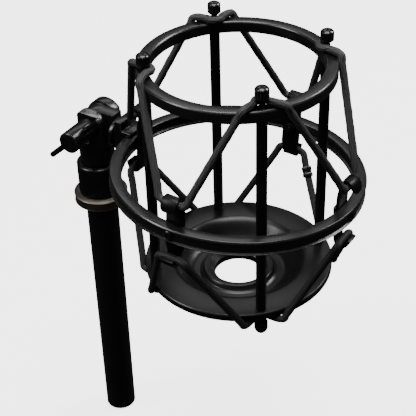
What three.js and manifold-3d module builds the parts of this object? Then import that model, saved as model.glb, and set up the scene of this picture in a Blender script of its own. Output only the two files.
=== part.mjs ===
// Shock-mount cradle on a swivel and stand tube, in millimetres.
// Z is up, +X runs from the stand tube to the cage, the origin is the middle of the tube's lower end.
import * as THREE from 'three';
import { mergeVertices } from 'three/addons/utils/BufferGeometryUtils.js';
import Module from 'manifold-3d';

const wasm = await Module();
wasm.setup();

// cage
const CAGE_X = 80;
const RING_TOP_Z = 240;
const TOP_RING_R = 43.2;
const TOP_RING_BORE_R = 37.6;
const TOP_RING_T = 5.3;
const ROD_CIRCLE_R = 39.9;
const ROD_R = 2.38;
const NECK_R = 1.5;
const NECK_HOLE_R = 1.7;
const DISH_R = 44.3;
const DISH_RIM_TOP_Z = 136.56;
const DISH_RIM_BOTTOM_Z = 132.8;
const DISH_FLOOR_Z = 125.1;
const DISH_HOLE_R = 11.5;
const ROLL_R = 32.5;
const ROLL_WIDTH = 11.5;
const ROLL_DROP = 8.7;
const CAP_Z = 244.0;
const CAP_R = 3.0;
const CAP_H = 5.4;
const END_NUT_TOP_Z = 128.9;
const END_NUT_H = 6.4;

// suspension ring, in its own frame: its middle plane is z = 0
const RING_MID_Z = 182.9;
const RING_R = 58.0;
const RING_BORE_R = 52.6;
const RING_HALF_T = 3.3;
const LEAN_X = 0.0388;
const LEAN_Y = -0.0457;
const STRAP_IN_R = 51.0;
const STRAP_T = 1.4;
const STRAP_HALF_W = 4.4;
const STRAP_NECK_HALF_W = 3.3;
const STRAP_NECK_FROM_Z = 9.0;
const STRAP_NECK_TO_Z = 12.5;
const FLAP_TIP_Z = 11.9;
const SCREW_R = 1.25;
const SCREW_HOLE_R = 1.45;
const SCREW_HEAD_R = 2.2;

// elastic cords
const CORD_R = 1.7;
const CORD_GAP = 0.15;
const CORD_POINTS = 72;
const EDGE_TURN_DEG = 11.7;

// swivel and stand
const PIVOT_X = 2.2;
const PIVOT_Z = 187.7;
const TUBE_R = 8.0;
const TUBE_BORE_R = 6.8;
const TUBE_TOP_Z = 141.0;
const LOCK_R = 13.4;
const COLLAR_R = 10.64;
const BODY_R = 8.6;
const FORK_R = 9.0;
const FORK_NEAR_Y = 6.7;
const FORK_FAR_Y = 8.7;
const FORK_PLAN_R = 10.4;
const FORK_BEVEL_Z = 6.6;
const SLOT_HALF_W = 3.7;
const SLOT_FLOOR_Z = 177.0;
const TONGUE_HALF_W = 3.4;
const TONGUE_TOP_Z = 195.4;
const BARREL_R = 5.3;
const BARREL_END_Y = -23.5;
const SPIGOT_Z = 185.1;
const BAR_Y = -14.7;
const BAR_R = 1.4;
const BAR_ANGLE = THREE.MathUtils.degToRad(42.4);

const group = new THREE.Group();

function toManifold(geometry) {
  const g = geometry.clone();
  for (const name of ['normal', 'uv']) {
    g.deleteAttribute(name);
  }
  const m = mergeVertices(g, 1e-4);
  const mesh = new wasm.Mesh({
    numProp: 3,
    vertProperties: Float32Array.from(m.attributes.position.array),
    triVerts: Uint32Array.from(m.index.array),
  });
  return new wasm.Manifold(mesh);
}

function fromManifold(solid) {
  const mesh = solid.getMesh();
  const g = new THREE.BufferGeometry();
  g.setAttribute('position', new THREE.BufferAttribute(Float32Array.from(mesh.vertProperties), 3));
  g.setIndex(new THREE.BufferAttribute(Uint32Array.from(mesh.triVerts), 1));
  return g;
}

function add(name, geometry, matrix) {
  const g = geometry.clone();
  if (matrix) {
    g.applyMatrix4(matrix);
  }
  g.computeVertexNormals();
  const mesh = new THREE.Mesh(g, new THREE.MeshStandardMaterial());
  mesh.name = name;
  group.add(mesh);
}

// a turned solid about Z from [radius, z] pairs that run counter-clockwise in the r-z plane
function turned(profile, segments = 44) {
  const points = profile.map(([r, z]) => new THREE.Vector2(r, z));
  const onAxis = profile[0][0] === 0 && profile[profile.length - 1][0] === 0;
  if (!onAxis) {
    points.push(points[0].clone());
  }
  const g = new THREE.LatheGeometry(points, segments);
  g.rotateX(Math.PI / 2);
  return g;
}

function solidTurned(profile, segments = 44) {
  return toManifold(turned(profile, segments));
}

// a round rod of radius r from a to b
function rod(r, a, b, segments = 24) {
  const from = new THREE.Vector3(...a);
  const to = new THREE.Vector3(...b);
  const dir = to.clone().sub(from);
  const g = new THREE.CylinderGeometry(r, r, dir.length(), segments);
  const turn = new THREE.Quaternion().setFromUnitVectors(new THREE.Vector3(0, 1, 0), dir.clone().normalize());
  g.applyQuaternion(turn);
  const mid = from.add(to).multiplyScalar(0.5);
  g.translate(mid.x, mid.y, mid.z);
  return toManifold(g);
}

function block(lo, hi) {
  const g = new THREE.BoxGeometry(hi[0] - lo[0], hi[1] - lo[1], hi[2] - lo[2]);
  g.translate((lo[0] + hi[0]) / 2, (lo[1] + hi[1]) / 2, (lo[2] + hi[2]) / 2);
  return toManifold(g);
}

function subtract(a, ...tools) {
  let s = a;
  for (const t of tools) {
    s = s.subtract(t);
  }
  return s;
}

// outline with teeth: alternating crest and root radii
function toothed(crest, root, count) {
  const shape = new THREE.Shape();
  for (let i = 0; i < count; i += 1) {
    const a = (i / count) * Math.PI * 2;
    const step = (Math.PI * 2) / count;
    const pts = [[crest, a], [crest, a + step * 0.5], [root, a + step * 0.62], [root, a + step * 0.88]];
    for (const [r, t] of pts) {
      const x = r * Math.cos(t);
      const y = r * Math.sin(t);
      if (i === 0 && t === a) {
        shape.moveTo(x, y);
      } else {
        shape.lineTo(x, y);
      }
    }
  }
  shape.closePath();
  return shape;
}

function extruded(shape, z0, z1) {
  const g = new THREE.ExtrudeGeometry(shape, { depth: z1 - z0, bevelEnabled: false, steps: 1 });
  g.translate(0, 0, z0);
  return toManifold(g);
}

const atCage = new THREE.Matrix4().makeTranslation(CAGE_X, 0, 0);
const lean = new THREE.Matrix4().makeTranslation(CAGE_X, 0, RING_MID_Z);
lean.multiply(new THREE.Matrix4().makeRotationY(LEAN_X));
lean.multiply(new THREE.Matrix4().makeRotationX(LEAN_Y));

// ---- stand tube and the threaded stud in its top ----
add('stand_tube', turned([
  [TUBE_BORE_R, 0.4], [TUBE_BORE_R + 0.4, 0], [TUBE_R - 0.4, 0], [TUBE_R, 0.4],
  [TUBE_R, TUBE_TOP_Z - 0.4], [TUBE_R - 0.4, TUBE_TOP_Z], [TUBE_BORE_R, TUBE_TOP_Z],
]));
add('thread_stud', turned([
  [0, 127], [TUBE_BORE_R - 0.2, 127], [TUBE_BORE_R - 0.2, TUBE_TOP_Z + 0.2], [7.6, TUBE_TOP_Z + 0.2],
  [7.6, 157.4], [7.0, 158], [0, 158],
], 32));

// ---- lock ring: coarse knurl between two plain bevelled lands ----
const lockBlank = solidTurned([
  [8.3, 141.9], [12.0, 141.9], [LOCK_R, 143.1], [LOCK_R, 147.1], [12.6, 148.0], [8.3, 148.0],
], 60);
const lockKnurl = extruded(toothed(LOCK_R + 0.01, LOCK_R - 0.35, 30), 140, 150);
add('lock_ring', fromManifold(lockBlank.intersect(lockKnurl)));

// ---- threaded collar with fine upright ribs ----
const collarBlank = solidTurned([
  [7.9, 148.3], [10.0, 148.3], [COLLAR_R, 148.9], [COLLAR_R, 164.5], [9.9, 165.2], [5.3, 165.2],
  [5.3, 161.0], [7.9, 161.0],
], 60);
const collarRibs = extruded(toothed(COLLAR_R + 0.01, COLLAR_R - 0.25, 30), 140, 162.5);
const collarLand = rod(COLLAR_R + 0.5, [0, 0, 162.5], [0, 0, 170], 60);
add('collar', fromManifold(collarBlank.intersect(collarRibs.add(collarLand))));

// ---- swivel body: turned shank, fork with round-topped ears set forward of the stand axis ----
const shank = solidTurned([
  [0, 160.6], [4.6, 160.6], [5.0, 161.0], [5.0, 165.5], [BODY_R - 0.5, 165.5], [BODY_R, 166.0],
  [BODY_R, 179.0], [BODY_R - 1.2, 180.2], [0, 180.2],
]);
const pivot = (y) => [PIVOT_X, y, PIVOT_Z];
const forkRound = rod(FORK_R, pivot(-FORK_NEAR_Y), pivot(FORK_FAR_Y), 48);
const forkFoot = block([-4.6, -FORK_NEAR_Y, 178], [PIVOT_X + FORK_R, FORK_FAR_Y, PIVOT_Z]);
const forkPlan = rod(FORK_PLAN_R, [PIVOT_X, 1.0, 170], [PIVOT_X, 1.0, 210], 56);
const bevelGeometry = new THREE.BoxGeometry(40, 6, 6);
bevelGeometry.rotateX(Math.PI / 4);
// the 45 degree face starts on the near face at FORK_BEVEL_Z above the pivot
bevelGeometry.translate(PIVOT_X, -FORK_NEAR_Y - 3 * Math.SQRT1_2, PIVOT_Z + FORK_BEVEL_Z + 3 * Math.SQRT1_2);
const fork = forkRound.add(forkFoot).intersect(forkPlan).subtract(toManifold(bevelGeometry));
const slot = block([-14, -SLOT_HALF_W, SLOT_FLOOR_Z], [20, SLOT_HALF_W, 210]);
const pivotHole = rod(2.75, pivot(-16), pivot(16), 28);
add('swivel_body', fromManifold(subtract(shank.add(fork), slot, pivotHole)));

// ---- T-screw: barrel and shaft in one, drilled for the tommy bar ----
const alongY = new THREE.Matrix4().makeRotationX(-Math.PI / 2);
const screwGeometry = turned([
  [0, BARREL_END_Y], [BARREL_R - 0.4, BARREL_END_Y], [BARREL_R, BARREL_END_Y + 0.4],
  [BARREL_R, -8.0], [4.1, -FORK_NEAR_Y - 0.3],
  [2.5, -FORK_NEAR_Y - 0.3], [2.5, FORK_FAR_Y - 0.4], [0, FORK_FAR_Y - 0.4],
], 36);
screwGeometry.applyMatrix4(alongY);
screwGeometry.translate(PIVOT_X, 0, PIVOT_Z);
const barDir = [Math.cos(BAR_ANGLE), 0, Math.sin(BAR_ANGLE)];
const barPoint = (s) => [PIVOT_X + barDir[0] * s, BAR_Y, PIVOT_Z + barDir[2] * s];
const barHole = rod(BAR_R + 0.2, barPoint(-20), barPoint(20));
add('t_screw', fromManifold(subtract(toManifold(screwGeometry), barHole)));
add('tommy_bar', fromManifold(rod(BAR_R, barPoint(-25.0), barPoint(17.0), 20)));

// ---- tilt arm: tongue, round flange and spigot ----
const tongueEnd = rod(8.2, pivot(-TONGUE_HALF_W), pivot(TONGUE_HALF_W), 40);
const tongueBar = block([PIVOT_X, -TONGUE_HALF_W, 180.4], [14.0, TONGUE_HALF_W, TONGUE_TOP_Z]);
const flange = rod(7.8, [13.4, 0, SPIGOT_Z], [15.4, 0, SPIGOT_Z], 40);
const spigot = rod(2.6, [15.0, 0, SPIGOT_Z], [19.8, 0, SPIGOT_Z], 24);
const tongue = tongueEnd.add(tongueBar).add(flange).add(spigot);
const tongueHole = rod(3.3, pivot(-8), pivot(8), 28);
add('tilt_arm', fromManifold(subtract(tongue, tongueHole)));

// ---- saddle that grips the ring, in the ring's frame; the stand side is -X ----
const saddleBody = block([-63.8, -6.6, -4.9], [-59.9, 6.6, 9.4]);
const saddleNeck = block([-60.0, -6.6, -4.9], [-58.4, 6.6, 4.9]);
const saddleTab = block([-58.5, -6.6, 3.6], [-54.6, 6.6, 4.9]);
const saddleFoot = block([-58.5, -4.2, -4.9], [-54.6, 4.2, -3.6]);
const saddleBore = rod(3.3, [-66, 0, 0], [-56, 0, 0], 32);
const saddle = subtract(saddleBody.add(saddleNeck).add(saddleTab).add(saddleFoot), saddleBore);
add('ring_saddle', fromManifold(saddle), lean);

// ---- suspension ring: channel outside, shallower channel inside ----
const ringBlank = solidTurned([
  [RING_BORE_R, -RING_HALF_T], [RING_R - 0.3, -RING_HALF_T], [RING_R, -RING_HALF_T + 0.3], [RING_R, -2.65],
  [57.0, -2.5], [57.0, 2.5], [RING_R, 2.65], [RING_R - 0.6, RING_HALF_T], [RING_BORE_R + 0.3, RING_HALF_T],
  [RING_BORE_R, RING_HALF_T - 0.3], [RING_BORE_R, 2.4], [53.4, 2.2], [53.4, -2.0], [RING_BORE_R, -2.2],
], 80);
const quarter = (k) => new THREE.Matrix4().makeRotationZ((k * Math.PI) / 2);
const turnedPoint = (r, k, z) => [r * Math.cos((k * Math.PI) / 2), r * Math.sin((k * Math.PI) / 2), z];
const ringHole = (k) => rod(SCREW_HOLE_R, turnedPoint(48, k, 0), turnedPoint(62, k, 0), 16);
const ringHoles = [0, 1, 2, 3].map(ringHole);
add('outer_ring', fromManifold(subtract(ringBlank, ...ringHoles)), lean);

// ---- hook brackets: a bent strap with a hook at each end ----
const strapR = STRAP_IN_R + STRAP_T / 2;
const strapLine = new THREE.CatmullRomCurve3([
  [58.4, FLAP_TIP_Z], [57.5, 14.4], [56.3, 16.2], [54.4, 17.0],
  [52.5, 16.0], [strapR, 13.2], [strapR, 6], [strapR, 0],
  [strapR, -6], [strapR, -12.1], [52.5, -15.3], [54.4, -16.3], [56.4, -15.7], [57.6, -14.3], [58.3, -12.3],
].map(([x, z]) => new THREE.Vector3(x, 0, z)), false, 'centripetal');
const strapPts = strapLine.getPoints(36);
const strapShape = new THREE.Shape();
const sides = [[], []];
strapPts.forEach((p, i) => {
  const a = strapPts[Math.max(i - 1, 0)];
  const b = strapPts[Math.min(i + 1, strapPts.length - 1)];
  const tangent = b.clone().sub(a).normalize();
  const n = new THREE.Vector2(-tangent.z, tangent.x).multiplyScalar(STRAP_T / 2);
  sides[0].push(new THREE.Vector2(p.x + n.x, p.z + n.y));
  sides[1].unshift(new THREE.Vector2(p.x - n.x, p.z - n.y));
});
strapShape.setFromPoints([...sides[0], ...sides[1]]);
const strapGeometry = new THREE.ExtrudeGeometry(strapShape, { depth: STRAP_HALF_W * 2, bevelEnabled: false });
strapGeometry.translate(0, 0, -STRAP_HALF_W);
strapGeometry.rotateX(Math.PI / 2);
// a plate seen along the radius: its outline's x is sideways and its y is up
function radialPlate(outline, from, to) {
  const g = new THREE.ExtrudeGeometry(outline, { depth: to - from, bevelEnabled: false });
  g.rotateX(Math.PI / 2);
  g.rotateZ(Math.PI / 2);
  g.translate(from, 0, 0);
  return toManifold(g);
}
const flapOutline = new THREE.Shape();
flapOutline.absellipse(0, FLAP_TIP_Z + 3.4, STRAP_NECK_HALF_W + 0.4, 3.8, Math.PI, Math.PI * 2, false);
flapOutline.lineTo(STRAP_NECK_HALF_W, 30);
flapOutline.lineTo(-STRAP_NECK_HALF_W, 30);
flapOutline.closePath();
const neckOutline = new THREE.Shape();
neckOutline.setFromPoints([
  [STRAP_HALF_W, -STRAP_NECK_FROM_Z], [STRAP_HALF_W, STRAP_NECK_FROM_Z],
  [STRAP_NECK_HALF_W, STRAP_NECK_TO_Z], [STRAP_NECK_HALF_W, 30],
  [-STRAP_NECK_HALF_W, 30], [-STRAP_NECK_HALF_W, STRAP_NECK_TO_Z],
  [-STRAP_HALF_W, STRAP_NECK_FROM_Z], [-STRAP_HALF_W, -STRAP_NECK_FROM_Z],
  [-STRAP_NECK_HALF_W, -STRAP_NECK_TO_Z], [-STRAP_NECK_HALF_W, -30],
  [STRAP_NECK_HALF_W, -30], [STRAP_NECK_HALF_W, -STRAP_NECK_TO_Z],
].map(([x, y]) => new THREE.Vector2(x, y)));
const strapLip = block([55, -STRAP_NECK_HALF_W, -30], [70, STRAP_NECK_HALF_W, -3]);
const strapKeep = radialPlate(flapOutline, 55.6, 75.6).add(radialPlate(neckOutline, 40, 55.6)).add(strapLip);
const strapHole = rod(SCREW_HOLE_R, [48, 0, 0], [55, 0, 0], 20);
const strap = subtract(toManifold(strapGeometry).intersect(strapKeep), strapHole);
const screwProfile = [
  [0, 48.6], [SCREW_R, 48.6], [SCREW_R, 57.2], [SCREW_HEAD_R, 57.2],
  [SCREW_HEAD_R, 57.7], [1.6, 58.25], [0, 58.4],
];
const nutOutline = new THREE.Shape();
for (let i = 0; i < 6; i += 1) {
  const a = (i * Math.PI) / 3;
  const x = 2.6 * Math.cos(a);
  const y = 2.6 * Math.sin(a);
  if (i === 0) {
    nutOutline.moveTo(x, y);
  } else {
    nutOutline.lineTo(x, y);
  }
}
nutOutline.closePath();
const radial = new THREE.Matrix4().makeRotationY(Math.PI / 2);
['b', 'c', 'd', 'a'].forEach((letter, k) => {
  const place = lean.clone().multiply(quarter(k));
  add(`hook_${letter}`, fromManifold(strap), place);
  add(`hook_screw_${letter}`, turned(screwProfile, 16), place.clone().multiply(radial));
  const nutBlank = extruded(nutOutline, 49.2, STRAP_IN_R - 0.2);
  const hexNut = subtract(nutBlank, rod(1.45, [0, 0, 40], [0, 0, 60], 20));
  add(`hook_nut_${letter}`, fromManifold(hexNut), place.clone().multiply(radial));
});

// ---- cage: top ring and dish joined by four necked rods ----
const rodAngles = [45, 135, 225, 315].map((a) => THREE.MathUtils.degToRad(a));
const rodXY = rodAngles.map((a) => [ROD_CIRCLE_R * Math.cos(a), ROD_CIRCLE_R * Math.sin(a)]);
const neckHoles = rodXY.map(([x, y]) => rod(NECK_HOLE_R, [x, y, 100], [x, y, 260], 16));
const topRing = solidTurned([
  [TOP_RING_BORE_R, RING_TOP_Z - TOP_RING_T], [TOP_RING_R - 0.3, RING_TOP_Z - TOP_RING_T],
  [TOP_RING_R, RING_TOP_Z - TOP_RING_T + 0.3], [TOP_RING_R, RING_TOP_Z - 0.5],
  [TOP_RING_R - 0.5, RING_TOP_Z], [TOP_RING_BORE_R + 0.5, RING_TOP_Z], [TOP_RING_BORE_R, RING_TOP_Z - 0.5],
], 80);
add('top_ring', fromManifold(subtract(topRing, ...neckHoles)), atCage);
const bowl = [];
for (let i = 0; i <= 9; i += 1) {
  const way = i / 9;
  const drop = 0.5 - 0.5 * Math.cos(Math.PI * way);
  bowl.push([ROLL_R - ROLL_WIDTH * way, DISH_RIM_TOP_Z - ROLL_DROP * drop]);
}
const dish = solidTurned([
  [DISH_HOLE_R, DISH_FLOOR_Z], [21.5, DISH_FLOOR_Z], [25.5, 126.4], [28.8, 129.3], [30.6, DISH_RIM_BOTTOM_Z],
  [DISH_R - 0.6, DISH_RIM_BOTTOM_Z], [DISH_R, DISH_RIM_BOTTOM_Z + 0.6], [DISH_R, DISH_RIM_TOP_Z - 0.6],
  [DISH_R - 0.6, DISH_RIM_TOP_Z], ...bowl,
  [18.8, 127.85], [17.4, 128.6], [16.8, 130.3], [16.2, 130.9],
  [13.9, 130.9], [12.2, 128.7], [DISH_HOLE_R, 128.2],
], 60);
add('base_dish', fromManifold(subtract(dish, ...neckHoles)), atCage);
const rodProfile = [
  [0, 125.2], [NECK_R, 125.2], [NECK_R, DISH_RIM_TOP_Z + 0.2], [ROD_R, DISH_RIM_TOP_Z + 0.2],
  [ROD_R, RING_TOP_Z - TOP_RING_T - 0.2],
  [NECK_R, RING_TOP_Z - TOP_RING_T - 0.2], [NECK_R, 247.4], [0, 247.4],
];
const capDome = solidTurned([
  [0, CAP_Z], [CAP_R - 0.7, CAP_Z], [CAP_R, CAP_Z + 0.7], [CAP_R, CAP_Z + CAP_H - 1.2],
  [CAP_R - 0.6, CAP_Z + CAP_H - 0.5], [1.2, CAP_Z + CAP_H],
  [0.7, CAP_Z + CAP_H + 0.4], [0, CAP_Z + CAP_H + 0.5],
], 20);
const capFlutes = extruded(toothed(CAP_R + 0.01, CAP_R - 0.3, 10), CAP_Z - 2, CAP_Z + CAP_H + 4);
const capBore = rod(NECK_R + 0.2, [0, 0, CAP_Z - 2], [0, 0, 247.7], 20);
const cap = subtract(capDome.intersect(capFlutes), capBore);
const endNutProfile = solidTurned([
  [0, END_NUT_TOP_Z - END_NUT_H], [1.5, END_NUT_TOP_Z - END_NUT_H + 0.3],
  [2.6, END_NUT_TOP_Z - END_NUT_H + 1.3],
  [3.1, END_NUT_TOP_Z - END_NUT_H + 2.7], [3.1, END_NUT_TOP_Z - 0.5],
  [2.7, END_NUT_TOP_Z], [0, END_NUT_TOP_Z],
], 20);
const endNut = subtract(endNutProfile, rod(NECK_R + 0.2, [0, 0, 124.9], [0, 0, 140], 20));
['right', 'back', 'left', 'front'].forEach((side, i) => {
  const place = new THREE.Matrix4().makeTranslation(CAGE_X + rodXY[i][0], rodXY[i][1], 0);
  add(`rod_${side}`, turned(rodProfile, 20), place);
  add(`cap_${side}`, fromManifold(cap), place);
  add(`end_nut_${side}`, fromManifold(endNut), place);
});

// ---- elastic cords: each is one endless loop over hooks and rod necks in turn ----
function cordPoints(up) {
  const pts = [];
  const side = up ? 1 : -1;
  const faceZ = up ? RING_TOP_Z : DISH_RIM_BOTTOM_Z;
  const wrapZ = faceZ + side * (CORD_R + CORD_GAP);
  const edgeR = (up ? TOP_RING_R : DISH_R) + 1.45;
  const edgeZ = faceZ + side * 1.45;
  const hookZ = up ? 14.15 : -13.65;
  const hookR = 54.45;
  const wrapR = NECK_R + CORD_R + CORD_GAP;
  const hookPoint = (k, t, rise) => {
    const p = new THREE.Vector3(hookR, t, hookZ + side * rise);
    return p.applyMatrix4(quarter(k)).applyMatrix4(lean);
  };
  const edgePoint = (mid, sign) => {
    const a = mid + sign * THREE.MathUtils.degToRad(EDGE_TURN_DEG);
    return new THREE.Vector3(CAGE_X + edgeR * Math.cos(a), edgeR * Math.sin(a), edgeZ);
  };
  for (let k = 0; k < 4; k += 1) {
    const mid = (k * Math.PI) / 2 + Math.PI / 4;
    const c = [CAGE_X + ROD_CIRCLE_R * Math.cos(mid), ROD_CIRCLE_R * Math.sin(mid)];
    pts.push(hookPoint(k, -3.4, 0), hookPoint(k, 0, 0), hookPoint(k, 3.4, 0));
    const leave = hookPoint(k, 6.3, 1.0);
    const rise = edgePoint(mid, -1);
    pts.push(leave, leave.clone().lerp(rise, 0.12), leave.clone().lerp(rise, 0.5));
    pts.push(leave.clone().lerp(rise, 0.93), rise);
    for (const w of [-80, -40, 0, 40, 80]) {
      const a = mid + Math.PI - THREE.MathUtils.degToRad(w);
      pts.push(new THREE.Vector3(c[0] + wrapR * Math.cos(a), c[1] + wrapR * Math.sin(a), wrapZ));
    }
    const fall = edgePoint(mid, 1);
    const arrive = hookPoint(k + 1, -6.3, 1.0);
    pts.push(fall, fall.clone().lerp(arrive, 0.07), fall.clone().lerp(arrive, 0.5));
    pts.push(fall.clone().lerp(arrive, 0.88), arrive);
  }
  return pts;
}
// sampled evenly between its own points, so that the tight turns get the most steps
class CordCurve extends THREE.CatmullRomCurve3 {
  getPointAt(u, target) {
    return this.getPoint(u, target);
  }

  getTangentAt(u, target) {
    return this.getTangent(u, target);
  }
}
function cordCurve(up) {
  return new CordCurve(cordPoints(up), true, 'centripetal');
}
add('upper_cord', new THREE.TubeGeometry(cordCurve(true), CORD_POINTS * 2, CORD_R, 6, true));
add('lower_cord', new THREE.TubeGeometry(cordCurve(false), CORD_POINTS * 2, CORD_R, 6, true));

// ---- ferrule on the lower cord, near the hook end of one straight run ----
const runU = 15.7 / CORD_POINTS;
const ferruleAt = cordCurve(false).getPoint(runU);
const ferruleDir = cordCurve(false).getTangent(runU).normalize();
const ferruleEnd = (s) => ferruleAt.clone().addScaledVector(ferruleDir, s).toArray();
const ferruleBody = rod(CORD_R + 0.75, ferruleEnd(-2.6), ferruleEnd(2.6), 24);
const ferruleBore = rod(CORD_R + 0.3, ferruleEnd(-4), ferruleEnd(4), 24);
add('cord_ferrule', fromManifold(subtract(ferruleBody, ferruleBore)));

export default group;
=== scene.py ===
import math

import bmesh
import bpy
from mathutils import Matrix, Vector


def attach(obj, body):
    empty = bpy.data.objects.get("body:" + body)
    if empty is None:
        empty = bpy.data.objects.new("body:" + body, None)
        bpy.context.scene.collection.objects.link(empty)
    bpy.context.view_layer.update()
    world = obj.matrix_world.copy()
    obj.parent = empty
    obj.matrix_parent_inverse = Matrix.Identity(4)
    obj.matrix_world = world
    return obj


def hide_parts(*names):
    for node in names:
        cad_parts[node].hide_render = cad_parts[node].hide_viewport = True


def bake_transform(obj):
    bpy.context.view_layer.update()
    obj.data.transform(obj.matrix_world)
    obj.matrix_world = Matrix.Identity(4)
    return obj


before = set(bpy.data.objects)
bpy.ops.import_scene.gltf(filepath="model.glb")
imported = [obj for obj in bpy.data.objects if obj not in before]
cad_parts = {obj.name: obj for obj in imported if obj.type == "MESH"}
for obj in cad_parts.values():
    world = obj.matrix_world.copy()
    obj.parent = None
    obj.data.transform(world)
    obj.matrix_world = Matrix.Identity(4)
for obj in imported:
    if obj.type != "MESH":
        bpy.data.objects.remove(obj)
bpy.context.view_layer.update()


# ---- camera: a long lens above the near right of the cradle ----
# It looks down on the cage from the side away from the stand, and is rolled a touch.
CAMERA_AT = Vector((0.29405, -0.35957, 0.46191))
CAMERA_LOOK = Vector((-0.4398, 0.6859, -0.5797)).normalized()
CAMERA_ROLL = -0.0301
LENS_MM = 96.2
SENSOR_MM = 36

level = CAMERA_LOOK.cross(Vector((0, 0, 1))).normalized()
upright = level.cross(CAMERA_LOOK)
camera_right = level * math.cos(CAMERA_ROLL) + upright * math.sin(CAMERA_ROLL)
camera_up = upright * math.cos(CAMERA_ROLL) - level * math.sin(CAMERA_ROLL)
camera = bpy.data.objects.new("camera", bpy.data.cameras.new("camera"))
camera.data.sensor_width = SENSOR_MM
camera.data.lens = LENS_MM
camera.data.clip_start = 0.01
facing = Matrix((camera_right, camera_up, -CAMERA_LOOK)).transposed()
camera.matrix_world = Matrix.Translation(CAMERA_AT) @ facing.to_4x4()
bpy.context.scene.collection.objects.link(camera)
bpy.context.scene.camera = camera


# ---- elastic cords: two endless loops of braided black elastic ----
# Each hooks over the four brackets and passes round the four rod necks, and carries the cage.
# The braid is two sets of yarns that cross on the slant over a rubber core.
MM = 0.001
CORD_R = 1.65
CAGE_X = 80.0
TOP_Z = 240.0
TOP_RING_R = 43.2
DISH_R = 44.3
RIM_UNDER_Z = 132.8
ROD_CIRCLE_R = 39.9
RING_MID_Z = 182.9
LEAN_ABOUT_Y = 0.0388
LEAN_ABOUT_X = -0.0457
HOOK_R = 54.45
UPPER_HOOK_Z = 14.15
LOWER_HOOK_Z = -13.65
HOOK_HALF_W = 3.4
LEAVING_AT = 6.3
LEAVING_RISE = 1.0
NECK_WRAP_R = 3.35
WRAP_STAND_OFF = 1.85
EDGE_STAND_OFF = 1.0
EDGE_RISE = 1.15
EDGE_TURN = math.radians(11.7)
YARNS = 8
BRAID_PITCH = 7.5
CORD_SIDES = 32
CORD_STEPS = 16
UPPER_RELIEF = 0.30
LOWER_RELIEF = 0.22
lean = Matrix.Translation((CAGE_X, 0, RING_MID_Z))
lean = lean @ Matrix.Rotation(LEAN_ABOUT_Y, 4, "Y") @ Matrix.Rotation(LEAN_ABOUT_X, 4, "X")


class Value:
    """A shader socket that joins in plain Python sums."""

    def __init__(self, tree, socket):
        self.tree = tree
        self.socket = socket

    def join(self, operation, first, second):
        return Graph(self.tree).node("ShaderNodeMath", {"operation": operation}, {0: first, 1: second})

    def __add__(self, other):
        return self.join("ADD", self, other)

    def __radd__(self, other):
        return self.join("ADD", other, self)

    def __sub__(self, other):
        return self.join("SUBTRACT", self, other)

    def __rsub__(self, other):
        return self.join("SUBTRACT", other, self)

    def __mul__(self, other):
        return self.join("MULTIPLY", self, other)

    def __rmul__(self, other):
        return self.join("MULTIPLY", other, self)


class Graph:
    """A node tree: every node in it is made by its node method."""

    def __init__(self, tree):
        self.tree = tree

    def node(self, kind, settings=None, sockets=None, output=0):
        made = self.tree.nodes.new(kind)
        for key, value in (settings or {}).items():
            setattr(made, key, value)
        for key, value in (sockets or {}).items():
            if isinstance(value, Value):
                self.tree.links.new(value.socket, made.inputs[key])
            else:
                made.inputs[key].default_value = value
        return Value(self.tree, made.outputs[output])

    def mix(self, factor, first, second):
        return self.node("ShaderNodeMix", {"data_type": "RGBA"}, {0: factor, 6: first, 7: second}, 2)

    def feed(self, shader, socket, value):
        self.tree.links.new(value.socket, self.tree.nodes[shader].inputs[socket])


class Finish(Graph):
    """A material round one Principled shader."""

    def __init__(self, name, **plain):
        self.material = bpy.data.materials.new(name)
        self.material.use_nodes = True
        super().__init__(self.material.node_tree)
        for socket, value in plain.items():
            self.tree.nodes["Principled BSDF"].inputs[socket.replace("_", " ")].default_value = value

    def surface(self, socket, value):
        self.feed("Principled BSDF", socket, value)

    def noise(self, scale, detail=3.0, roughness=0.5):
        place = self.node("ShaderNodeTexCoord", output="Object")
        sockets = {"Vector": place, "Scale": scale, "Detail": detail, "Roughness": roughness}
        return self.node("ShaderNodeTexNoise", sockets=sockets)

    def attribute(self, name):
        return self.node("ShaderNodeAttribute", {"attribute_name": name}, output="Fac")

    def bump(self, height, depth):
        self.surface("Normal", self.node("ShaderNodeBump", sockets={"Height": height, "Distance": depth}))


def braided_elastic(name, crest_highlight):
    """Black yarn with loose fibre in the bump; its crests are painted paler as a painted highlight, and
    the hollows stay dark as painted shade.
    """
    finish = Finish(name, Specular_IOR_Level=0.45)
    relief = finish.attribute("relief")
    fibre = finish.noise(5200.0, 4.0, 0.65)
    # Painted highlight and shade: the yarn height lightens the crests towards the highlight colour and
    # leaves the hollows dark.
    shade = relief * 0.85 + fibre * 0.3 - 0.1
    finish.surface("Base Color", finish.mix(shade, (0.0015, 0.0015, 0.002, 1), (*crest_highlight, 1)))
    finish.surface("Roughness", 0.78 - 0.28 * relief)
    finish.bump(fibre, 0.00005)
    return finish.material


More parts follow.
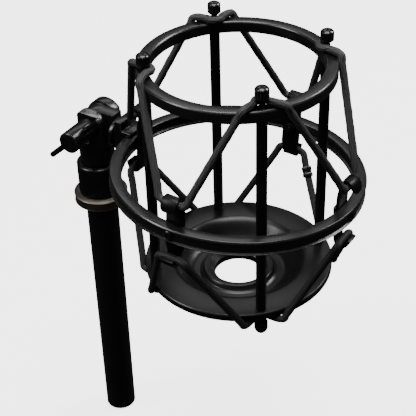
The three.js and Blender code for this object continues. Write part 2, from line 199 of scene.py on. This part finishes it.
def cord_route(side):
    """The points of one loop in millimetres: side 1 lies over the top ring and -1 under the dish."""
    face = TOP_Z if side > 0 else RIM_UNDER_Z
    edge_r = (TOP_RING_R if side > 0 else DISH_R) + EDGE_STAND_OFF
    hook_z = UPPER_HOOK_Z if side > 0 else LOWER_HOOK_Z
    points = []

    def at_hook(k, across, rise):
        flat = Vector((HOOK_R, across, hook_z + side * rise))
        return lean @ (Matrix.Rotation(k * math.pi / 2, 4, "Z") @ flat)

    def at_edge(angle):
        height = face + side * EDGE_RISE
        return Vector((CAGE_X + edge_r * math.cos(angle), edge_r * math.sin(angle), height))

    for k in range(4):
        middle = k * math.pi / 2 + math.pi / 4
        neck = Vector((CAGE_X + ROD_CIRCLE_R * math.cos(middle), ROD_CIRCLE_R * math.sin(middle), 0))
        points += [at_hook(k, across, 0) for across in (-HOOK_HALF_W, 0, HOOK_HALF_W)]
        leave = at_hook(k, LEAVING_AT, LEAVING_RISE)
        rise = at_edge(middle - EDGE_TURN)
        points += [leave.lerp(rise, t) for t in (0, 0.12, 0.5, 0.93, 1)]
        for wrapped in (-80, -40, 0, 40, 80):
            a = middle + math.pi - math.radians(wrapped)
            height = face + side * WRAP_STAND_OFF
            points.append(neck + Vector((NECK_WRAP_R * math.cos(a), NECK_WRAP_R * math.sin(a), height)))
        fall = at_edge(middle + EDGE_TURN)
        arrive = at_hook(k + 1, -LEAVING_AT, LEAVING_RISE)
        points += [fall.lerp(arrive, t) for t in (0, 0.07, 0.5, 0.88, 1)]
    return points


def between(a, b, t, from_t, to_t):
    return a.lerp(b, (t - from_t) / (to_t - from_t))


def smooth_loop(points, steps):
    """A closed centripetal curve through the points, with the same number of steps a span."""
    path = []
    for i in range(len(points)):
        p = [points[(i + j - 1) % len(points)] for j in range(4)]
        t = [0.0]
        for a, b in zip(p, p[1:]):
            t.append(t[-1] + math.sqrt((b - a).length))
        for s in range(steps):
            now = t[1] + (t[2] - t[1]) * s / steps
            first = [between(p[j], p[j + 1], now, t[j], t[j + 1]) for j in range(3)]
            second = [between(first[j], first[j + 1], now, t[j], t[j + 2]) for j in range(2)]
            path.append(between(second[0], second[1], now, t[1], t[2]))
    return path


def yarn_height(around, along):
    """How far a yarn stands up, 0 to 1, at this turn of the cord and this many pitches along it."""
    left = YARNS * around + along
    right = YARNS * around - along
    over = math.cos(math.pi * left) * math.cos(math.pi * right)
    crest_left = math.sqrt(abs(math.cos(math.pi * left))) * (0.62 + 0.38 * over)
    crest_right = math.sqrt(abs(math.cos(math.pi * right))) * (0.62 - 0.38 * over)
    return max(crest_left, crest_right)


def show(mesh, name, body, slot, material, *nodes):
    """Puts a finished mesh in the scene on its body, in place of its CAD nodes."""
    piece = bpy.data.objects.new(name, mesh)
    bpy.context.scene.collection.objects.link(piece)
    mesh.materials.clear()
    mesh.materials.append(material)
    if body:
        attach(piece, body)
    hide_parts(*nodes)
    return piece


def braided_loop(name, side, relief_height, material, node):
    path = smooth_loop(cord_route(side), CORD_STEPS)
    line = bpy.data.curves.new(name + "_line", "CURVE")
    line.dimensions = "3D"
    line.bevel_depth = CORD_R * MM
    line.bevel_resolution = CORD_SIDES // 2 - 2
    spline = line.splines.new("POLY")
    spline.points.add(len(path) - 1)
    spline.use_cyclic_u = True
    for point, at in zip(spline.points, path):
        point.co = (*(at * MM), 1)
    holder = bpy.data.objects.new(name + "_line", line)
    bpy.context.scene.collection.objects.link(holder)
    bpy.context.view_layer.update()
    graph = bpy.context.evaluated_depsgraph_get()
    mesh = bpy.data.meshes.new_from_object(holder.evaluated_get(graph))
    bpy.data.objects.remove(holder)

    run = [0.0]
    for a, b in zip(path, path[1:] + path[:1]):
        run.append(run[-1] + (b - a).length)
    pitches = 2 * round(run[-1] / BRAID_PITCH / 2)
    heights = []
    for i, vertex in enumerate(mesh.vertices):
        ring, side_of = divmod(i, CORD_SIDES)
        height = yarn_height(side_of / CORD_SIDES, pitches * run[ring] / run[-1])
        out = (vertex.co - path[ring] * MM).normalized()
        vertex.co += out * (height - 0.5) * relief_height * MM
        heights.append(height)
    layer = mesh.attributes.new("relief", "FLOAT", "POINT")
    layer.data.foreach_set("value", heights)
    mesh.polygons.foreach_set("use_smooth", [True] * len(mesh.polygons))
    return show(mesh, name, None, "cord", material, node)


# One elastic in two copies: the lower loop, under the dish, has its crest highlight painted darker as
# painted shade.
upper_elastic = braided_elastic("braided_elastic_lit", (0.07, 0.07, 0.073))
lower_elastic = braided_elastic("braided_elastic_shaded", (0.045, 0.045, 0.047))
upper_cord = braided_loop("upper_elastic", 1, UPPER_RELIEF, upper_elastic, "upper_cord")
lower_cord = braided_loop("lower_elastic", -1, LOWER_RELIEF, lower_elastic, "lower_cord")
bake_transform(upper_cord)
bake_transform(lower_cord)


# ---- ferrule: a short crimped metal sleeve that joins the ends of the lower cord ----
# It sits on the straight run between the far hook and the right rod, close to the hook.
SHARP = math.radians(28)


def turned(profile, steps, bevel=0.0, closed=True, segments=2):
    """A turned shape from (radius, height) points in millimetres, its sharp edges bevelled."""
    shape = bmesh.new()
    points = [shape.verts.new((r * MM, 0, z * MM)) for r, z in profile]
    edges = [shape.edges.new(pair) for pair in zip(points, points[1:])]
    if closed:
        edges.append(shape.edges.new((points[-1], points[0])))
    bmesh.ops.spin(
        shape, geom=points + edges, cent=(0, 0, 0), axis=(0, 0, 1),
        angle=math.tau, steps=steps, use_merge=True,
    )
    bmesh.ops.remove_doubles(shape, verts=shape.verts, dist=1e-7)
    bmesh.ops.recalc_face_normals(shape, faces=shape.faces)
    if bevel:
        soften(shape, bevel, segments)
    return shape


def soften(shape, width, segments):
    """Bevels the sharp edges and marks the new faces, so that the paint can be lighter on them, partly as
    thin worn paint and partly as a painted edge highlight.
    """
    mark = shape.faces.layers.float.new("edge")
    sharp = [e for e in shape.edges if len(e.link_faces) == 2 and e.calc_face_angle() > SHARP]
    made = bmesh.ops.bevel(
        shape, geom=sharp, offset=width * MM, offset_type="OFFSET", segments=segments,
        profile=0.5, affect="EDGES", clamp_overlap=True, material=-1,
    )
    for face in made["faces"]:
        face[mark] = 1.0


def placed(shape, move):
    """Moves a shape by a matrix whose shift is in millimetres."""
    bmesh.ops.transform(shape, matrix=move.to_3x3().to_4x4(), verts=shape.verts)
    bmesh.ops.translate(shape, vec=move.translation * MM, verts=shape.verts)
    return shape


def as_mesh(shape, name, smooth_under=35):
    mesh = bpy.data.meshes.new(name)
    shape.to_mesh(mesh)
    shape.free()
    mesh.polygons.foreach_set("use_smooth", [True] * len(mesh.polygons))
    mesh.set_sharp_from_angle(angle=math.radians(smooth_under))
    return mesh


def dull_nickel(name):
    finish = Finish(name, Metallic=1.0)
    smear = finish.noise(900.0, 4.0)
    finish.surface("Base Color", finish.mix(smear, (0.05, 0.05, 0.054, 1), (0.13, 0.13, 0.135, 1)))
    finish.surface("Roughness", 0.24 + 0.22 * smear)
    finish.bump(finish.noise(6000.0), 0.000012)
    return finish.material


SPAN_STEPS = 20
FERRULE_SPAN = 15.7
lower_path = smooth_loop(cord_route(-1), SPAN_STEPS)
ferrule_i = round(FERRULE_SPAN * SPAN_STEPS)
ferrule_way = (lower_path[ferrule_i + 1] - lower_path[ferrule_i - 1]).normalized()
ferrule_turn = ferrule_way.to_track_quat("Z", "Y").to_matrix().to_4x4()
ferrule_place = Matrix.Translation(lower_path[ferrule_i]) @ ferrule_turn
ferrule = turned([
    (1.95, -2.6), (2.3, -2.6), (2.45, -2.2), (2.45, -1.0), (2.2, -0.6), (2.2, 0.6),
    (2.45, 1.0), (2.45, 2.2), (2.3, 2.6), (1.95, 2.6),
], bevel=0.08, steps=48)
ferrule = as_mesh(placed(ferrule, ferrule_place), "crimped_ferrule")
ferrule = show(ferrule, "crimped_ferrule", None, "ferrule", dull_nickel("ferrule_metal"), "cord_ferrule")
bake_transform(ferrule)


# ---- outer suspension ring: a turned metal hoop, channelled outside and shallower inside ----
# It leans a little against the cage, and four cross holes take the bracket screws.
# Its satin black enamel is used on most of the other pieces too.
PEEL_DEPTH = 0.000007


def satin_paint(name, shade, gloss, edge_wear_and_highlight, shine=0.5):
    """Black enamel, lighter and smoother on turned edges, with a fine orange peel and dull patches; the
    lighter edges are partly thin worn paint and partly a painted highlight.
    """
    finish = Finish(name, Specular_IOR_Level=shine)
    edge = finish.attribute("edge")
    patches = finish.noise(55.0, 4.0, 0.6)
    speck = finish.noise(1900.0, 3.0, 0.55)
    dark = (shade * 0.75, shade * 0.77, shade * 0.82, 1)
    light = (shade * 1.3, shade * 1.32, shade * 1.38, 1)
    body = finish.mix(patches * 0.6 + speck * 0.4, dark, light)
    # Painted highlight along the bevelled edges, mixed in patches with worn paint.
    worn_and_lit_edge = (edge_wear_and_highlight, edge_wear_and_highlight, edge_wear_and_highlight * 1.03, 1)
    finish.surface("Base Color", finish.mix(edge * (0.35 + 0.5 * patches), body, worn_and_lit_edge))
    finish.surface("Roughness", gloss - 0.05 + 0.12 * patches - 0.06 * edge)
    finish.bump(speck + 0.6 * finish.noise(5200.0, 2.0), PEEL_DEPTH)
    return finish.material


ring_paint = satin_paint("ring_paint", 0.006, 0.27, 0.07, shine=0.85)
outer_ring = turned([
    (52.6, -3.3), (57.7, -3.3), (58.0, -3.0), (58.0, -2.65), (57.0, -2.45), (57.0, 2.4),
    (58.0, 2.6), (57.4, 3.3), (52.9, 3.3), (52.6, 3.0), (52.6, 2.4), (53.4, 2.2),
    (53.4, -2.0), (52.6, -2.2),
], bevel=0.1, steps=256)
outer_ring = as_mesh(placed(outer_ring, lean), "suspension_ring")
show(outer_ring, "suspension_ring", "ring", "painted_ring", ring_paint, "outer_ring")


# ---- top ring of the cage: a flat turned hoop with chamfered rims ----
# It is turned metal in the ring paint. The rod necks pass through it and the caps screw down above it.
at_cage = Matrix.Translation((CAGE_X, 0, 0))
top_ring = turned([
    (37.6, TOP_Z - 5.3), (42.9, TOP_Z - 5.3), (TOP_RING_R, TOP_Z - 5.0), (TOP_RING_R, TOP_Z - 0.6),
    (42.6, TOP_Z), (38.2, TOP_Z), (37.6, TOP_Z - 0.6),
], bevel=0.12, steps=224)
top_ring = as_mesh(placed(top_ring, at_cage), "cage_top_ring")
show(top_ring, "cage_top_ring", "cage", "painted_ring", ring_paint, "top_ring")


# ---- base dish: a painted metal plate with a bowl, and a raised lip round the centre hole ----
# The flat rolls over softly into the bowl, and the bowl floor runs level to the lip.
DISH_TOP_Z = 136.56
ROLL_R = 32.5
ROLL_WIDTH = 11.5
ROLL_DROP = 8.7
ROLL_STEPS = 28
dish_paint = satin_paint("dish_paint", 0.004, 0.30, 0.04)
bowl_wall = []
for i in range(ROLL_STEPS + 1):
    way = i / ROLL_STEPS
    drop = 0.5 - 0.5 * math.cos(math.pi * way)
    bowl_wall.append((ROLL_R - ROLL_WIDTH * way, DISH_TOP_Z - ROLL_DROP * drop))
dish = turned([
    (11.5, 125.1), (21.5, 125.1), (25.5, 126.4), (28.8, 129.3), (30.6, RIM_UNDER_Z),
    (43.7, RIM_UNDER_Z), (DISH_R, RIM_UNDER_Z + 0.6), (DISH_R, DISH_TOP_Z - 0.5),
    (43.8, DISH_TOP_Z), *bowl_wall,
    (18.8, 127.85), (17.4, 128.6), (16.8, 130.3), (16.2, 130.9),
    (13.9, 130.9), (12.2, 128.7), (11.5, 128.2),
], bevel=0.12, steps=224)
dish = as_mesh(placed(dish, at_cage), "microphone_dish")
show(dish, "microphone_dish", "cage", "painted_dish", dish_paint, "base_dish")


# ---- cage rods, caps and end nuts: four turned steel posts, each necked at both ends ----
# A fluted cap with a polished crown screws on above, and a rounded nut closes the lower end.
def fluted(shape, count, depth, low, high, over):
    """Presses even flutes into the wall between two heights, wherever it is wider than over."""
    for vertex in shape.verts:
        r = Vector((vertex.co.x, vertex.co.y)).length
        if r < over * MM or not low * MM <= vertex.co.z <= high * MM:
            continue
        a = math.atan2(vertex.co.y, vertex.co.x)
        cut = (0.5 - 0.5 * math.cos(count * a)) ** 0.6
        shrink = 1 - cut * depth * MM / r
        vertex.co.x *= shrink
        vertex.co.y *= shrink


def polished_black(name):
    finish = Finish(name, Specular_IOR_Level=0.6)
    smear = finish.noise(700.0, 3.0)
    finish.surface("Base Color", finish.mix(smear, (0.004, 0.004, 0.0045, 1), (0.010, 0.010, 0.011, 1)))
    finish.surface("Roughness", 0.14 + 0.14 * smear)
    finish.bump(finish.noise(4200.0), 0.000006)
    return finish.material


CAP_FLUTES = 16
FLUTE_DEPTH = 0.28
rod_paint = satin_paint("rod_paint", 0.003, 0.30, 0.03)
cap_black = polished_black("cap_black")
nut_black = satin_paint("end_nut_black", 0.004, 0.24, 0.03)
for i, side in enumerate(("right", "back", "left", "front")):
    a = math.radians(45 + 90 * i)
    place = Matrix.Translation((CAGE_X + ROD_CIRCLE_R * math.cos(a), ROD_CIRCLE_R * math.sin(a), 0))
    post = turned([
        (0, 125.2), (1.5, 125.2), (1.5, 136.76), (2.38, 136.76), (2.38, TOP_Z - 5.5),
        (1.5, TOP_Z - 5.5), (1.5, 247.4), (0, 247.4),
    ], bevel=0.14, steps=48, closed=False)
    post = as_mesh(placed(post, place), "cage_rod_" + side)
    show(post, "cage_rod_" + side, "cage", "rod", rod_paint, "rod_" + side)

    cap = turned([
        (1.7, 244.0), (2.4, 244.0), (3.0, 244.6), (3.0, 245.0), (3.0, 245.7), (3.0, 246.6), (3.0, 247.4),
        (3.0, 248.1), (2.85, 248.5), (2.45, 248.9), (1.9, 249.2), (1.2, 249.4),
        (0.75, 249.5), (0.6, 249.8), (0.3, 249.88), (0, 249.9), (0, 247.7), (1.7, 247.7),
    ], steps=128, closed=False)
    fluted(cap, CAP_FLUTES, FLUTE_DEPTH, 244.9, 248.2, 2.9)
    cap.faces.layers.float.new("edge")
    cap = as_mesh(placed(cap, place), "fluted_cap_" + side, 42)
    show(cap, "fluted_cap_" + side, "cage", "cap", cap_black, "cap_" + side)

    nut = turned([
        (0, 122.5), (1.5, 122.8), (2.1, 123.1), (2.6, 123.8), (2.95, 124.5), (3.1, 125.2),
        (3.1, 128.4), (2.7, 128.9), (1.65, 128.9), (1.65, 125.0), (0, 125.0),
    ], bevel=0.1, steps=56, closed=False)
    nut = as_mesh(placed(nut, place), "end_nut_piece_" + side)
    show(nut, "end_nut_piece_" + side, "cage", "fastener", nut_black, "end_nut_" + side)


# ---- hook brackets: four bent straps with a hook at each end, each held by a screw and a nut ----
# The strap is sheet steel with broken edges, so its blank is taken over and its edges are softened.
def taken_over(node, width):
    """A merged copy of a CAD node with flat faces joined up and its sharp edges bevelled."""
    shape = bmesh.new()
    shape.from_mesh(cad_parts[node].data)
    bmesh.ops.remove_doubles(shape, verts=shape.verts, dist=2e-6)
    bmesh.ops.dissolve_limit(
        shape, angle_limit=math.radians(0.6), verts=shape.verts, edges=shape.edges,
        use_dissolve_boundaries=False,
    )
    soften(shape, width, segments=2)
    return shape


bracket_paint = satin_paint("bracket_paint", 0.004, 0.36, 0.04, shine=0.22)
screw_black = polished_black("screw_black")
turn_out = Matrix.Rotation(math.pi / 2, 4, "Y")
for k, letter in enumerate("bcda"):
    place = lean @ Matrix.Rotation(k * math.pi / 2, 4, "Z") @ turn_out
    strap = as_mesh(taken_over("hook_" + letter, 0.22), "hook_strap_" + letter, 40)
    show(strap, "hook_strap_" + letter, "ring", "bracket", bracket_paint, "hook_" + letter)

    screw = turned([
        (0, 48.6), (1.25, 48.6), (1.25, 57.2), (2.2, 57.2), (2.2, 57.7), (1.9, 58.05), (1.5, 58.27),
        (1.0, 58.38), (0.75, 58.38), (0.75, 57.6), (0, 57.6),
    ], bevel=0.05, steps=48, closed=False)
    screw = as_mesh(placed(screw, place), "bracket_screw_" + letter)
    show(screw, "bracket_screw_" + letter, "ring", "fastener", screw_black, "hook_screw_" + letter)

    nut = as_mesh(taken_over("hook_nut_" + letter, 0.15), "bracket_nut_" + letter, 40)
    show(nut, "bracket_nut_" + letter, "ring", "fastener", nut_black, "hook_nut_" + letter)


# ---- saddle and tilt arm: milled blocks that grip the ring and carry it to the pivot ----
# Both are cut from bar and painted with the swivel.
body_paint = satin_paint("swivel_paint", 0.005, 0.26, 0.05, shine=0.75)
saddle = as_mesh(taken_over("ring_saddle", 0.3), "ring_clamp_saddle", 40)
show(saddle, "ring_clamp_saddle", "ring", "painted_hardware", body_paint, "ring_saddle")
arm = as_mesh(taken_over("tilt_arm", 0.3), "tilt_tongue", 40)
show(arm, "tilt_tongue", "ring", "painted_hardware", body_paint, "tilt_arm")


# ---- swivel body: a turned shank with a fork at its head ----
# It is painted metal. The tongue turns between its two round ears, and the near ear has a bevelled face.
swivel = as_mesh(taken_over("swivel_body", 0.3), "swivel_fork", 40)
show(swivel, "swivel_fork", "swivel", "painted_hardware", body_paint, "swivel_body")


# ---- T-screw and tommy bar: the barrel clamps the tilt, and the bar slides through it ----
# Both are blackened steel, the bar with rounded ends.
steel = satin_paint("blackened_steel", 0.005, 0.24, 0.06)
barrel = as_mesh(taken_over("t_screw", 0.25), "clamp_barrel", 40)
show(barrel, "clamp_barrel", "screw", "painted_hardware", steel, "t_screw")
BAR_RISE = math.radians(42.4)
BAR_CENTRE = (2.2, -14.7, 187.7)
bar_place = Matrix.Translation(BAR_CENTRE) @ Matrix.Rotation(math.pi / 2 - BAR_RISE, 4, "Y")
bar_profile = [(0, -25.0), (1.4, -25.0), (1.4, 17.0), (0, 17.0)]
bar = turned(bar_profile, bevel=0.4, steps=48, closed=False, segments=4)
bar = as_mesh(placed(bar, bar_place), "sliding_bar", 50)
show(bar, "sliding_bar", "bar", "painted_hardware", steel, "tommy_bar")


# ---- collar: the ribbed sleeve nut that joins the swivel to the stand ----
# It is painted metal. Sixty fine upright ribs are rolled round it, with a plain land above.
COLLAR_R = 10.64
RIBS = 60
RIB_DEPTH = 0.3
collar = turned([
    (7.9, 148.3), (10.0, 148.3), (COLLAR_R, 148.9),
    *[(COLLAR_R, 149.3 + 1.2 * i) for i in range(12)], (COLLAR_R, 163.3),
    (COLLAR_R, 164.5), (9.9, 165.2), (5.3, 165.2), (5.3, 161.0), (7.9, 161.0),
], steps=360)
fluted(collar, RIBS, RIB_DEPTH, 149.2, 162.6, 10.5)
collar.faces.layers.float.new("edge")
collar = as_mesh(collar, "ribbed_collar", 50)
show(collar, "ribbed_collar", "collar", "painted_hardware", body_paint, "collar")


# ---- lock ring: a dark bronze ring with a knurled edge ----
# It screws up against the collar and stops it turning.
def dark_bronze(name):
    finish = Finish(name, Metallic=1.0)
    patches = finish.noise(140.0, 5.0, 0.6)
    finish.surface("Base Color", finish.mix(patches, (0.07, 0.063, 0.053, 1), (0.27, 0.245, 0.20, 1)))
    finish.surface("Roughness", 0.34 + 0.2 * patches)
    finish.bump(finish.noise(3800.0), 0.00001)
    return finish.material


LOCK_R = 13.4
lock = turned([
    (8.3, 141.9), (12.0, 141.9), (LOCK_R, 142.9),
    *[(LOCK_R, 143.2 + 0.3 * i) for i in range(13)], (LOCK_R, 147.2),
    (12.6, 148.0), (8.3, 148.0),
], steps=432)
KNURL = 72
KNURL_DEPTH = 0.34
KNURL_LEAN = 1.6
for vertex in lock.verts:
    r = Vector((vertex.co.x, vertex.co.y)).length
    if r < 13.3 * MM or not 143.1 * MM < vertex.co.z < 146.9 * MM:
        continue
    a = math.atan2(vertex.co.y, vertex.co.x)
    slant = vertex.co.z / MM * KNURL_LEAN
    left_cut = abs(math.sin(KNURL / 2 * a + slant)) ** 0.5
    right_cut = abs(math.sin(KNURL / 2 * a - slant)) ** 0.5
    cut = max(left_cut, right_cut)
    shrink = 1 - (1 - cut * 0.5) * KNURL_DEPTH * MM / r
    vertex.co.x *= shrink
    vertex.co.y *= shrink
lock = as_mesh(lock, "knurled_lock_ring", 60)
show(lock, "knurled_lock_ring", "lock", "bronze_knurl", dark_bronze("lock_bronze"), "lock_ring")


# ---- stand tube and its threaded stud ----
# The tube is thin steel with a satin coat, and the stud in its top carries the collar.
tube_paint = satin_paint("tube_paint", 0.004, 0.34, 0.03)
tube = turned([
    (6.8, 0.4), (7.2, 0), (7.6, 0), (8.0, 0.4), (8.0, 140.6), (7.6, 141.0), (6.8, 141.0),
], bevel=0.1, steps=128)
tube = as_mesh(tube, "stand_tube_piece")
show(tube, "stand_tube_piece", "stand", "painted_tube", tube_paint, "stand_tube")
CREST_R = 7.6
ROOT_R = 7.25
thread = [(CREST_R if i % 2 else ROOT_R, 142.0 + 0.45 * i) for i in range(34)]
stud = turned([
    (0, 127), (6.6, 127), (6.6, 141.2), (ROOT_R, 141.2), *thread, (7.2, 157.6), (7.0, 158), (0, 158),
], steps=96, closed=False)
stud.faces.layers.float.new("edge")
stud = as_mesh(stud, "stand_stud")
show(stud, "stand_stud", "stand", "fastener", nut_black, "thread_stud")


# ---- floor, world and lamps: a plain pale studio ----
# The floor glows to the camera alone, so it is pale and the upright black walls stay dark.
GLOW = 3
sheet = bmesh.new()
bmesh.ops.create_grid(sheet, x_segments=1, y_segments=1, size=6)
floor = bpy.data.objects.new("floor", as_mesh(sheet, "floor"))
floor_white = Finish("floor_white", Base_Color=(0.93, 0.93, 0.93, 1), Roughness=0.9)
floor_shader = floor_white.tree.nodes["Principled BSDF"]
floor_shader.inputs["Emission Color"].default_value = (1, 1, 1, 1)
floor_shader.inputs["Emission Strength"].default_value = GLOW
floor.data.materials.append(floor_white.material)
bpy.context.scene.collection.objects.link(floor)
floor.visible_glossy = False
floor.visible_diffuse = False

world = bpy.data.worlds.new("studio")
bpy.context.scene.world = world
world.use_nodes = True
room = Graph(world.node_tree)
seen_by_camera = room.node("ShaderNodeLightPath", output="Is Camera Ray")
room.tree.nodes["Background"].inputs["Strength"].default_value = GLOW
room.feed("Background", "Color", room.mix(seen_by_camera, (0.01, 0.01, 0.0107, 1), (1, 1, 1, 1)))

MIDDLE = Vector((0.05, 0, 0.17))


def softbox(name, at, size, power):
    lamp = bpy.data.objects.new(name, bpy.data.lights.new(name, "AREA"))
    lamp.data.shape = "RECTANGLE"
    lamp.data.size = size[0]
    lamp.data.size_y = size[1]
    lamp.data.energy = power
    lamp.location = at
    lamp.rotation_euler = (MIDDLE - Vector(at)).to_track_quat("-Z", "Y").to_euler()
    bpy.context.scene.collection.objects.link(lamp)


softbox("overhead", (0.1, -0.1, 1.9), (1.2, 1.2), 31)
softbox("back_sky", (-0.75, 1.25, 1.62), (1.5, 0.55), 4.3)
softbox("left_front", (-1.1, -1.2, 1.5), (0.6, 1.0), 20)
softbox("right_back", (0.9, 1.3, 1.5), (0.5, 0.9), 24)
